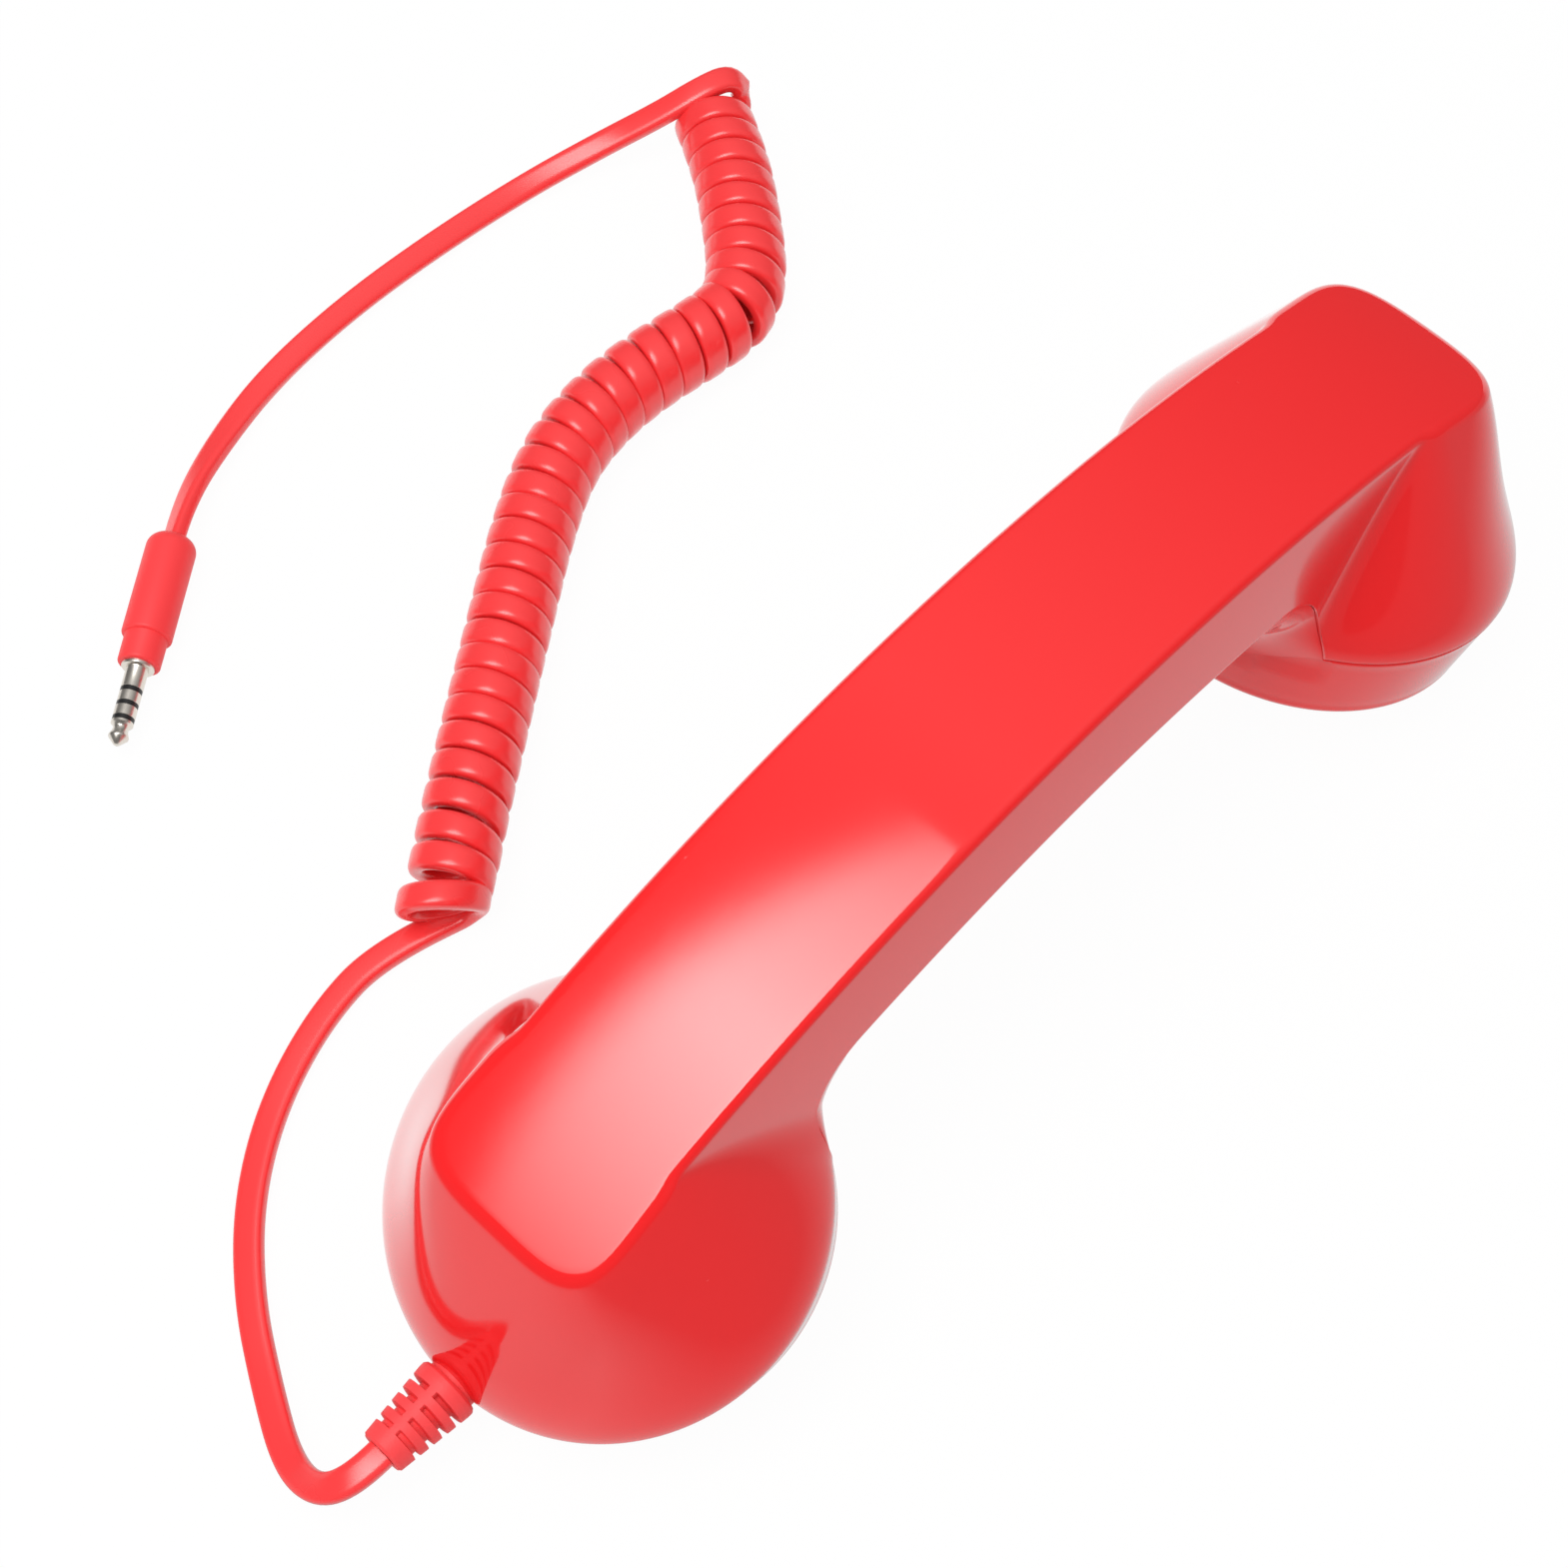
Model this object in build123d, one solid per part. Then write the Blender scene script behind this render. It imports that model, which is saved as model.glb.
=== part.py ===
from build123d import *
import math
import os

# Telephone handset on a coiled cord. Millimetres, +Z up, lying on its two cups on a flat surface.
# Origin on that surface, midway between the cups. The earpiece is at +X, the mouthpiece at -X.

# Handle
back_height = 70.1
back_radius = 222.0
back_width = 28.4
handle_depth = 25.0
side_draft = 6.0
seam_depth = 17.0
underside_round = 6.0

# Cups, measured in a frame that is tilted with the rim
cup_x = 71.5
cup_tilt = 18.0
rim_radius = 29.4
rim_round = 1.6
ring_height = 14.0
ring_flare = 2.2
lip = 0.4
dome_rise = 33.0
dome_lean = 7.5
dome_top_radius = 14.75
dome_shoulder = 0.12
dome_corner = 2.5
neck_radius = 16.0
throat_round = 12.0
throat_x = 52.1
throat_foot = 8.0

# Walls and gaps
wall = 2.4
fit_gap = 0.3
thread_gap = 0.05
sliding_gap = 0.12

# Perforated caps and the ledge that they sit on
cap_radius = 26.7
cap_recess = 1.2
cap_thick = 2.0
cap_dish = 0.7
hole_radius = 1.1
hole_pitch = 5.2
ledge_width = 2.4
ledge_thick = 1.6

# Screws that join the shells
boss_angle = 60.0
boss_circle = 23.8
boss_radius = 3.9
screw_radius = 1.5
screw_head_radius = 2.75
screw_head_height = 1.8
screw_reach = 8.0

# Speaker
gasket_thick = 1.2
speaker_radius = 18.5
flange_thick = 1.4
basket_height = 6.4
basket_wall = 1.0
magnet_radius = 9.0
magnet_height = 5.0

# Microphone
capsule_radius = 4.85
capsule_height = 3.0
boot_wall = 1.7

# Weight, board, switch and button in the handle
weight_length = 64.0
weight_width = 18.0
weight_height = 6.5
weight_top = 63.0
weight_hole_x = 16.0
post_radius = 3.2
board_length = 50.0
board_width = 18.0
board_thick = 1.2
board_bottom = 52.4
board_hole_x = 19.0
board_screw_radius = 1.0
switch_width = 6.0
switch_height = 2.8
switch_stem = 0.7
button_radius = 4.5
button_proud = 0.8
button_flange = 1.1
button_flange_thick = 0.8
button_travel = 0.5

# Strain relief and cord
relief_length = 13.0
relief_big_radius = 4.75
relief_small_radius = 3.5
relief_neck_radius = 3.9
relief_flange_radius = 5.4
relief_flange_thick = 1.5
slot_rows = 4
slot_width = 1.35
slot_core_radius = 2.5
bridge_width = 2.6
cord_radius = 1.6
coil_radius = 6.7
lead_radius = 0.9

# 3.5 mm plug, lying on the surface: where the cord enters it, and the way it points
plug_start = (-40.9, 133.3)
plug_heading = -144.9
plug_body_radius = 4.0
plug_body_length = 18.4
plug_neck_radius = 3.4
plug_neck_length = 5.0
plug_flange_radius = 2.7
plug_flange_thick = 0.6
plug_radius = 1.75
plug_shaft_length = 14.0
plug_tip_length = 4.0
plug_ring_length = 1.75
plug_insulator_length = 0.75
plug_z = plug_body_radius + 0.1

ct = math.cos(math.radians(cup_tilt))
st = math.sin(math.radians(cup_tilt))
draft = math.tan(math.radians(side_draft))
rim_z = (rim_radius - rim_round) * st + rim_round * (1 - ct)
arc_z = back_height - back_radius
ring_top_radius = rim_radius + ring_flare
seam_radius = ring_top_radius + lip
bore_radius = cap_radius + fit_gap
cap_top = cap_recess + cap_thick
ledge_top = cap_top + ledge_thick
floor_z = back_height - handle_depth + wall
cup = Location(Plane(origin=(cup_x, 0, rim_z), x_dir=(ct, 0, -st), z_dir=(st, 0, ct)))
relief_x = cup_x + ring_height * st + ring_top_radius * ct
relief_z = rim_z + ring_height * ct - ring_top_radius * st
relief_end = relief_x + relief_length
# The flange is flat and the bore's wall is tilted and round, so the flange seats on the wall by its edge
flange_seat = (cup_x + ring_height * st + bore_radius * ct - fit_gap - relief_flange_radius * st / ct
               - bore_radius + math.sqrt(bore_radius ** 2 - relief_flange_radius ** 2))

# Points of the cord, chosen by hand. The first tail leaves the strain relief, the last ends in the plug.
tail_points = [(-relief_end, 0, relief_z), (-124.0, 0, relief_z), (-128.2, 3.6, 8.2), (-127.8, 11.0, 3.2),
               (-122.6, 21.2, 1.8), (-115.9, 32.4, 1.7), (-106.4, 43.2, 1.7), (-94.2, 51.6, 1.7),
               (-79.8, 56.9, 1.7), (-66.6, 58.0, 1.7), (-54.6, 53.6, 2.0)]
coil_points = [(-56.0, 54.5), (-45.3, 62.3), (-31.0, 72.1), (-16.3, 82.0), (-2.0, 91.6), (10.0, 98.0),
               (21.3, 100.1), (32.3, 99.7), (42.6, 97.8), (50.4, 97.1), (57.0, 101.2), (64.3, 109.7),
               (71.8, 119.6), (76.2, 126.4)]
plug_tail_points = [(80.8, 123.2, 5.2), (84.4, 125.3, 9.0), (83.2, 129.6, 12.8), (77.4, 133.0, 12.6),
                    (70.4, 136.0, 9.2), (60.2, 139.9, 4.6), (46.6, 144.0, 1.8), (27.0, 146.3, 1.7),
                    (8.4, 147.3, 1.7), (-9.5, 146.2, 1.7), (-24.0, 142.4, 2.4), (-35.17, 137.33, plug_z),
                    (*plug_start, plug_z)]


def is_inside(x, y, z, inset):
    """True where a point is inside the handle's band or the dome, or in the fillet between them."""
    dx, dz = x - cup_x, z - rim_z
    h, e = dx * st + dz * ct, dx * ct - dz * st
    v = max((h - ring_height) / dome_rise, 0.0)
    taper = (math.hypot(v, dome_shoulder) - dome_shoulder) / (math.hypot(1, dome_shoulder) - dome_shoulder)
    r = max(seam_radius - (seam_radius - dome_top_radius) * taper, 0.6 * dome_top_radius) - inset
    band = back_width / 2 + draft * (back_radius - math.hypot(x, z - arc_z)) - inset
    e += dome_lean * v
    if e > 0:
        n = 2 + dome_corner * min(v, 1.1) ** 3
        return (e / r) ** n + (y / max(r, band)) ** n < 1
    if y < band or math.hypot(e, y) < r:
        return True
    if r <= band:
        return False
    ball = neck_radius + inset
    ball_e = -math.sqrt((r + ball) ** 2 - (band + ball) ** 2)
    on_arc = ball_e < e < ball_e * r / (r + ball) and y < band + ball
    return on_arc and math.hypot(e - ball_e, y - band - ball) > ball


def reach(x0, angle, z, inset):
    """The point where a level ray from (x0, 0) leaves the form."""
    c, s = math.cos(math.radians(angle)), math.sin(math.radians(angle))
    low, high = 0.0, 2.0 * seam_radius
    for _ in range(30):
        middle = (low + high) / 2
        if is_inside(x0 + middle * c, middle * s, z, inset):
            low = middle
        else:
            high = middle
    return x0 + low * c, low * s


def level_wire(z, inset):
    """One smooth closed outline of the whole handset at height z."""
    fan_x = cup_x + 4.5
    steps = (0, 1, 2, 3, 4, 4.5, 5, 5.4, 5.8, 6.2, 6.6, 7, 7.4, 7.8, 8.2, 8.6, 9)
    rays = [(fan_x * k / 9.5, 90) for k in steps]
    rays += [(fan_x, a) for a in (90, 82, 74, 66, 58, 51, 45, 39, 32, 24, 16, 8, 0)]
    quarter = [reach(x0, a, z, inset) for x0, a in rays]
    right = quarter + [(x, -y) for x, y in quarter[-2:0:-1]]
    points = right + [(-x, -y) for x, y in right]
    with BuildSketch(Plane.XY.offset(z)) as outline:
        with BuildLine():
            Spline(*points, periodic=True)
        make_face()
    return outline.sketch.faces()[0].outer_wire()


def side_form(inset=0.0):
    """The sides of handle, necks and domes as one form, taller than the handset."""
    levels = (-4, 0, 4, 8, 12, 16, 20, 24, 28, 32, 36, 41, 46, 51, 56, 61, 66, 72)
    return Part() + Solid.make_loft([level_wire(z, inset) for z in levels])


def both(half):
    """A form and its mirror image at the other cup."""
    return half + mirror(half, about=Plane.YZ)


def arc_drum(radius):
    """A drum about the centre line of the handle's arc."""
    return Pos(0, 0, arc_z) * Rot(90, 0, 0) * Cylinder(radius, 200)


def turned(*points):
    """A solid turned about Z from (radius, height) points."""
    with BuildSketch(Plane.XZ) as sk:
        with BuildLine():
            Polyline(*points, close=True)
        make_face()
    return revolve(sk.sketch, Axis.Z)


def rod(radius, low, high, x=0.0, y=0.0):
    """An upright round rod between two heights."""
    return Pos(x, y, low) * Cylinder(radius, high - low, align=(Align.CENTER, Align.CENTER, Align.MIN))


def at_bosses(make):
    """A form repeated at the two screw bosses of one cup, in the cup's own frame."""
    spots = [(boss_circle * math.cos(a), boss_circle * math.sin(a))
             for a in (math.radians(boss_angle), -math.radians(boss_angle))]
    return Part() + [Pos(x, y, 0) * make() for x, y in spots]


def below_seam():
    """Everything under the parting line of the two shells, drawn from the side."""
    seam_r = back_radius - seam_depth
    plane_x, plane_z = cup_x + ring_height * st, rim_z + ring_height * ct
    far = 2 * cup_x
    corner_z = arc_z + math.sqrt(seam_r ** 2 - throat_x ** 2)
    foot_z = plane_z - (throat_x - plane_x) * st / ct
    far_z = plane_z - (far - plane_x) * st / ct
    with BuildSketch(Plane.XZ) as sk:
        with BuildLine():
            RadiusArc((-throat_x, corner_z), (throat_x, corner_z), seam_r)
            Polyline((throat_x, corner_z), (throat_x, foot_z), (far, far_z), (far, -60), (-far, -60),
                     (-far, far_z), (-throat_x, foot_z), (-throat_x, corner_z))
        make_face()
        fillet(sk.vertices().sort_by(Axis.Y)[-2:], throat_round)
    return extrude(sk.sketch, 60, both=True)


def ring_form():
    """The outside of one ring from its rim to the seam, carried on up inside the dome."""
    high = 45
    with BuildSketch(Plane.XZ) as sk:
        with BuildLine():
            Line((0, 0), (rim_radius - rim_round, 0))
            RadiusArc((rim_radius - rim_round, 0), (rim_radius, rim_round), -rim_round)
            Polyline((rim_radius, rim_round), (ring_top_radius, ring_height), (ring_top_radius, high),
                     (0, high), (0, 0))
        make_face()
    return cup * revolve(sk.sketch, Axis.Z)


def throat():
    """The round throat that carries the ring's inner side up into the handle's underside."""
    foot = rim_radius + ring_flare * (throat_foot - rim_round) / (ring_height - rim_round)
    top, edge = throat_foot + throat_round, foot + throat_round
    with BuildSketch(Plane.XZ) as sk:
        with BuildLine():
            RadiusArc((foot, throat_foot), (edge, top), throat_round)
            Polyline((edge, top), (edge, 40), (20, 40), (20, throat_foot), (foot, throat_foot))
        make_face()
    inner_side = Pos(throat_x - 30, 0, 30) * Box(60, 80, 80)
    return (cup * revolve(sk.sketch, Axis.Z)) & inner_side


def underside_slab():
    """The space above the handle's underside."""
    slab = arc_drum(back_radius + 40) - arc_drum(back_radius - handle_depth)
    return slab & (Pos(0, 0, 60) * Box(400, 160, 120))


def round_underside(shell):
    """The long lower edges of the handle, rounded."""
    under = back_radius - handle_depth
    edges = [e for e in shell.edges() if e.length > 5 and abs(e.center().Y) > 10
             and all(abs(math.hypot((e @ t).X, (e @ t).Z - arc_z) - under) < 0.05 for t in (0, 0.5, 1))]
    return shell.fillet(underside_round, edges)


def cavity():
    """The space inside both shells: the same form with a wall taken off, and the two round bores."""
    hollow = arc_drum(back_radius - wall) - arc_drum(back_radius - handle_depth + wall)
    hollow = hollow & (Pos(0, 0, 60) * Box(400, 160, 120))
    bore = cup * rod(bore_radius, -1, 45)
    return side_form(wall) & (hollow + both(bore)) & arc_drum(back_radius - wall)


def relief_hole():
    """The round hole at the seam that the strain relief's neck sits in."""
    hole = Rot(0, -90, 0) * rod(relief_neck_radius + thread_gap, cup_x, relief_x + 4)
    return Pos(0, 0, relief_z) * hole


def outer_shell(form, below, hollow):
    body = (form & arc_drum(back_radius)) - below
    column = cup * at_bosses(lambda: rod(boss_radius, ring_height, 45))
    pilot = cup * at_bosses(lambda: rod(screw_radius + thread_gap, 0, ring_height + screw_reach + 1))
    posts = Part() + [rod(post_radius, weight_top, back_height, x) for x in (-weight_hole_x, weight_hole_x)]
    holes = Part() + [rod(screw_radius + thread_gap, 0, weight_top + 3, x)
                      for x in (-weight_hole_x, weight_hole_x)]
    shell = (body - hollow) + ((both(column) + posts) & body)
    return shell - both(pilot) - holes - relief_hole()


def inner_shell(form, below, hollow):
    keep = underside_slab() + both(ring_form() + throat())
    body = round_underside(form & keep & below)
    ledge = cup * (rod(bore_radius + 0.5, cap_top, ledge_top) - rod(bore_radius - ledge_width, 0, 20))
    column = cup * at_bosses(lambda: rod(boss_radius, cap_top, 45))
    head_top = cap_top + screw_head_height + fit_gap
    head = cup * at_bosses(lambda: rod(screw_head_radius + fit_gap / 2, 0, head_top))
    pilot = cup * at_bosses(lambda: rod(screw_radius + thread_gap, 0, 45))
    posts = Part() + [rod(post_radius, 30, board_bottom, x) for x in (-board_hole_x, board_hole_x)]
    holes = Part() + [rod(board_screw_radius + thread_gap, board_bottom - 4, 60, x)
                      for x in (-board_hole_x, board_hole_x)]
    shell = (body - hollow) + ((both(ledge + column) + posts) & body)
    shell = shell - both(head + pilot) - holes - relief_hole()
    return shell - rod(button_radius + sliding_gap, 0, 60)


def shell_screws():
    """Four self-tapping screws, driven from under the caps."""
    low = cap_top + fit_gap / 2
    head = rod(screw_head_radius, low, low + screw_head_height)
    slot = Pos(0, 0, low) * (Box(4, 0.8, 1.2) + Box(0.8, 4, 1.2))
    shaft = rod(screw_radius, low + screw_head_height, ring_height + screw_reach)
    return both(cup * at_bosses(lambda: head - slot + shaft))


def cap(rings):
    """A dished, perforated disc. Each ring of holes has six more than the one inside it."""
    dish = [(0, cap_recess + cap_dish), (cap_radius * 0.45, cap_recess + cap_dish * 0.8),
            (cap_radius - 3, cap_recess), (cap_radius - 0.5, cap_recess), (cap_radius, cap_recess + 0.5)]
    disc = turned(*dish, (cap_radius, cap_top), (0, cap_top))
    holes = [rod(hole_radius, 0, 10)]
    for ring in range(1, rings + 1):
        for k in range(6 * ring):
            a, r = 2 * math.pi * k / (6 * ring), hole_pitch * ring
            holes.append(rod(hole_radius, 0, 10, r * math.cos(a), r * math.sin(a)))
    return cup * (disc - holes)


def gasket():
    low = cap_top
    return cup * (rod(speaker_radius, low, low + gasket_thick) - rod(speaker_radius - 3, 0, 20))


def speaker_frame():
    """A thin pressed basket with a flat flange at the front and a flat back."""
    low = cap_top + gasket_thick
    top = low + basket_height
    inner = speaker_radius - 3
    return cup * turned((speaker_radius, low), (speaker_radius, low + flange_thick),
                        (inner + 1.4, low + flange_thick), (magnet_radius + 2.4, top - 1.2),
                        (magnet_radius + 2.4, top), (5, top), (5, top - basket_wall),
                        (magnet_radius + 1.2, top - basket_wall), (inner, low + flange_thick - 0.4),
                        (inner, low))


def speaker_cone():
    """A shallow paper cone with a domed centre, just clear of the basket."""
    low = cap_top + gasket_thick
    rim = speaker_radius - 3 - fit_gap
    return cup * turned((rim, low + 0.1), (rim, low + 0.5), (6, low + 4.0), (3, low + 3.2), (0, low + 3.0),
                        (0, low + 2.5), (3, low + 2.7), (6, low + 3.5), (rim - 0.6, low + 0.1))


def speaker_magnet():
    low = cap_top + gasket_thick + basket_height
    return cup * (rod(magnet_radius, low, low + magnet_height) - rod(2.0, low + magnet_height - 2, low + 20))


def microphone_boot():
    """A rubber sleeve with a closed back, standing on the back of the cap."""
    outer = capsule_radius + boot_wall
    top = cap_top + capsule_height + fit_gap + 1.4
    pocket = rod(capsule_radius + fit_gap / 3, 0, top - 1.4)
    body = rod(outer, cap_top, top) - pocket - rod(1.2, 0, 30, 2.4)
    return mirror(cup * body, about=Plane.YZ)


def microphone_capsule():
    can = rod(capsule_radius, cap_top + fit_gap / 2, cap_top + fit_gap / 2 + capsule_height)
    port = rod(1.0, 0, cap_top + 0.8)
    return mirror(cup * (can - port), about=Plane.YZ)


def weight_bar():
    """A steel bar screwed up against two posts in the back of the handle."""
    bar = Pos(0, 0, weight_top - weight_height / 2) * Box(weight_length, weight_width, weight_height)
    bar = chamfer(bar.edges().filter_by(Axis.Z), 2)
    return bar - [rod(screw_radius + fit_gap, 0, 100, x) for x in (-weight_hole_x, weight_hole_x)]


def weight_screws():
    low = weight_top - weight_height - screw_head_height
    screw = rod(screw_head_radius, low, low + screw_head_height) + rod(screw_radius, low, weight_top + 2.5)
    screw = screw - Pos(0, 0, low) * (Box(4, 0.8, 1.2) + Box(0.8, 4, 1.2))
    return Part() + [Pos(x, 0, 0) * screw for x in (-weight_hole_x, weight_hole_x)]


def circuit_board():
    board = Pos(0, 0, board_bottom + board_thick / 2) * Box(board_length, board_width, board_thick)
    holes = [rod(board_screw_radius + fit_gap / 2, 0, 100, x) for x in (-board_hole_x, board_hole_x)]
    return board - holes


def board_screws():
    top = board_bottom + board_thick
    screw = rod(board_screw_radius, board_bottom - 3.5, top) + rod(board_screw_radius * 1.9, top, top + 1.0)
    screw = screw - Pos(0, 0, top + 1.0) * Box(3, 0.5, 1.0)
    return Part() + [Pos(x, 0, 0) * screw for x in (-board_hole_x, board_hole_x)]


def switch():
    """A tactile switch under the board, its stem pointing down at the button."""
    body = Pos(0, 0, board_bottom - switch_height / 2) * Box(switch_width, switch_width, switch_height)
    return body + rod(1.6, board_bottom - switch_height - switch_stem, board_bottom - switch_height)


def answer_button():
    """A round button with a flange that keeps it in the handle and a short plunger."""
    low = back_height - handle_depth - button_proud
    seat = floor_z + fit_gap / 5
    stem_low = board_bottom - switch_height - switch_stem
    cap_body = rod(button_radius, low, seat)
    cap_body = fillet(cap_body.edges().sort_by(Axis.Z)[0], 0.6)
    flange = rod(button_radius + button_flange, seat, seat + button_flange_thick)
    return cap_body + flange + rod(1.4, floor_z, stem_low - button_travel - 0.05)


def strain_relief():
    """A tapered sleeve. Each row of windows is bridged a quarter turn from the row before it."""
    def radius_at(s):
        return relief_big_radius + (relief_small_radius - relief_big_radius) * s / relief_length
    first, pitch = 2.6, (relief_length - 4.0) / slot_rows
    back = flange_seat - relief_x
    low_end = back - relief_flange_thick
    body = turned((0, low_end), (relief_flange_radius, low_end), (relief_flange_radius, back),
                  (relief_neck_radius, back), (relief_neck_radius, 0.4), (relief_big_radius, 0.4),
                  (relief_big_radius, 1.8), (radius_at(2.2), 2.2),
                  (relief_small_radius, relief_length - 0.4),
                  (relief_small_radius - 0.4, relief_length), (0, relief_length))
    for row in range(slot_rows):
        low = first + pitch * row
        groove = rod(10, low, low + slot_width) - rod(slot_core_radius, low, low + slot_width)
        bar = Pos(0, 0, low + slot_width / 2) * Box(20, bridge_width, slot_width)
        body = body - (groove - Rot(0, 0, 90 * (row % 2)) * bar)
    return Pos(-relief_x, 0, relief_z) * Rot(0, -90, 0) * body


def cord_crimp():
    """A crimped stop on the cord, just behind the strain relief's flange."""
    high = flange_seat - relief_flange_thick
    ring = rod(2.6, high - 3, high) - rod(slot_core_radius - 0.9 + thread_gap, 0, 200)
    return Pos(0, 0, relief_z) * Rot(0, -90, 0) * ring


def tube(points, radius):
    """A round tube along straight runs, each pair of runs joined by the largest arc that fits them."""
    vectors = [Vector(*p) for p in points]
    runs = [b - a for a, b in zip(vectors, vectors[1:])]
    radii = []
    for a, b in zip(runs, runs[1:]):
        half_turn = math.radians(a.get_angle(b)) / 2
        radii.append(0.45 * min(a.length, b.length) / math.tan(half_turn))
    path = FilletPolyline(*vectors, radius=radii)
    start = Plane(origin=path @ 0, z_dir=path % 0)
    solid = sweep(start * Circle(radius), path=path)
    section = math.pi * radius ** 2 * path.length
    print("radii", [round(r, 1) for r in radii], "length", round(path.length, 1),
          "volume", round(solid.volume, 1), "section times length", round(section, 1))
    return solid


def inner_cord():
    """The cord's end inside the mouthpiece, up through the neck to the board."""
    start = flange_seat - relief_flange_thick - 3
    lift = board_bottom + board_thick + lead_radius + 0.1
    return tube([(-start, 0, relief_z), (-start + 6, 1, relief_z + 4), (-84, 3, 24), (-75, 3, 34),
                 (-62, 2, 44), (-48, 0.5, 50), (-36, 0, lift), (-24, 1, lift)], lead_radius)


def speaker_lead():
    """The pair of wires from the board to the back of the speaker."""
    low = cap_top + gasket_thick + basket_height + magnet_height + lead_radius
    end = (cup * Pos(-6, 0, low)).position
    lift = board_bottom + board_thick + lead_radius + 0.1
    return tube([(24, 1, lift), (36, 0, lift), (48, 0.5, 50), (58, 2, 42), (64, 1, 33),
                 (end.X, 0, end.Z)], lead_radius)


def along_plug(profile):
    """A turned piece of the plug, placed on the plug's axis."""
    place = Plane(origin=(*plug_start, plug_z),
                  z_dir=(math.cos(math.radians(plug_heading)), math.sin(math.radians(plug_heading)), 0))
    return Location(place) * profile


def plug_parts():
    """The plug's moulded body and its contacts, stacked along its axis."""
    neck_end = plug_body_length + plug_neck_length
    body = turned((0, 0), (plug_body_radius - 1.4, 0), (plug_body_radius - 0.4, 0.6),
                  (plug_body_radius, 2.0), (plug_body_radius, plug_body_length - 0.5),
                  (plug_body_radius - 0.3, plug_body_length),
                  (plug_neck_radius, plug_body_length), (plug_neck_radius, neck_end - 0.3),
                  (plug_neck_radius - 0.3, neck_end), (0, neck_end))
    shaft_start = neck_end + plug_flange_thick
    shaft_end = neck_end + plug_shaft_length
    tip_start = shaft_end - plug_tip_length
    ring_pitch = plug_ring_length + plug_insulator_length
    sleeve_end = tip_start - 2 * ring_pitch - plug_insulator_length
    sleeve = rod(plug_flange_radius, neck_end, shaft_start) + rod(plug_radius, shaft_start, sleeve_end)
    insulators = [rod(plug_radius, s, s + plug_insulator_length) for s in
                  (sleeve_end, sleeve_end + ring_pitch, sleeve_end + 2 * ring_pitch)]
    contacts = [rod(plug_radius, s, s + plug_ring_length) for s in
                (sleeve_end + plug_insulator_length, sleeve_end + plug_insulator_length + ring_pitch)]
    tip = turned((0, tip_start), (plug_radius, tip_start), (plug_radius, tip_start + 0.5),
                 (1.25, tip_start + 1.3), (1.6, tip_start + 2.1), (1.65, tip_start + 2.5),
                 (0.6, shaft_end), (0, shaft_end))
    return {"plug_body": along_plug(body), "plug_sleeve": along_plug(sleeve),
            "plug_rings": along_plug(Part() + contacts), "plug_insulators": along_plug(Part() + insulators),
            "plug_tip": along_plug(tip)}


def build():
    form, below, hollow = side_form(), below_seam(), cavity()
    nodes = {
        "outer_shell": outer_shell(form, below, hollow),
        "inner_shell": inner_shell(form, below, hollow),
        "shell_screws": shell_screws(),
        "earpiece_cap": cap(3),
        "mouthpiece_cap": mirror(cap(2), about=Plane.YZ),
        "speaker_gasket": gasket(),
        "speaker_frame": speaker_frame(),
        "speaker_cone": speaker_cone(),
        "speaker_magnet": speaker_magnet(),
        "microphone_boot": microphone_boot(),
        "microphone_capsule": microphone_capsule(),
        "weight_bar": weight_bar(),
        "weight_screws": weight_screws(),
        "circuit_board": circuit_board(),
        "board_screws": board_screws(),
        "button_switch": switch(),
        "answer_button": answer_button(),
        "strain_relief": strain_relief(),
        "cord_crimp": cord_crimp(),
        "inner_cord": inner_cord(),
        "speaker_lead": speaker_lead(),
        "cord_tail": tube(tail_points, cord_radius),
        "cord_coil": tube([(x, y, coil_radius + 0.1) for x, y in coil_points], coil_radius),
        "cord_plug_tail": tube(plug_tail_points, cord_radius),
    }
    nodes.update(plug_parts())
    return nodes


os.makedirs("parts", exist_ok=True)
for name, shape in build().items():
    export_step(shape, "parts/" + name + ".step")
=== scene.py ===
"""Looks of a red telephone handset that lies on a white table with its curly cord and plug.

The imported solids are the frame. New surfaces are worked out in millimetres as grids and turned into
meshes in metres. +X points to the earpiece, +Y to the side where the cord lies, +Z is up.
"""
import math

import bmesh
import bpy
import numpy as np
from mathutils import Matrix, Vector


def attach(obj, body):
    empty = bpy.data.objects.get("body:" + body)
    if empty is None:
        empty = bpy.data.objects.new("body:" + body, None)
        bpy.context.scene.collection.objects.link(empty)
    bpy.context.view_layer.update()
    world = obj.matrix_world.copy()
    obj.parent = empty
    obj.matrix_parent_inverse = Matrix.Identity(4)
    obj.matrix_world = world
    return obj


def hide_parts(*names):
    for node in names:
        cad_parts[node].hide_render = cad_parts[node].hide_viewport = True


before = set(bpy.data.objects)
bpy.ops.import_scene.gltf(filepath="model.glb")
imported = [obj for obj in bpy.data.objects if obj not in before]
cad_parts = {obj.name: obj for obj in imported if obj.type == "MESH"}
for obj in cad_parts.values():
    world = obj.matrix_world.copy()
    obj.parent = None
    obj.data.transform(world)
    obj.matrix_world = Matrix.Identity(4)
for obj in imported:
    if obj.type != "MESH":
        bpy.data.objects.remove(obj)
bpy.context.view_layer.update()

# Handle, cups and seams, in millimetres. The solids have 6 for underside_round, 16 for neck_radius and 0.4
# for lip, and no underside_inset or ear_bulge. The rest is as in the solids.
back_height, back_radius, back_width = 70.1, 222.0, 28.4
handle_depth, seam_depth, side_draft, underside_round, underside_inset = 25.0, 17.0, 6.0, 9.0, 0.45
cup_x, cup_tilt, rim_radius, rim_round = 71.5, 18.0, 29.4, 1.6
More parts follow.
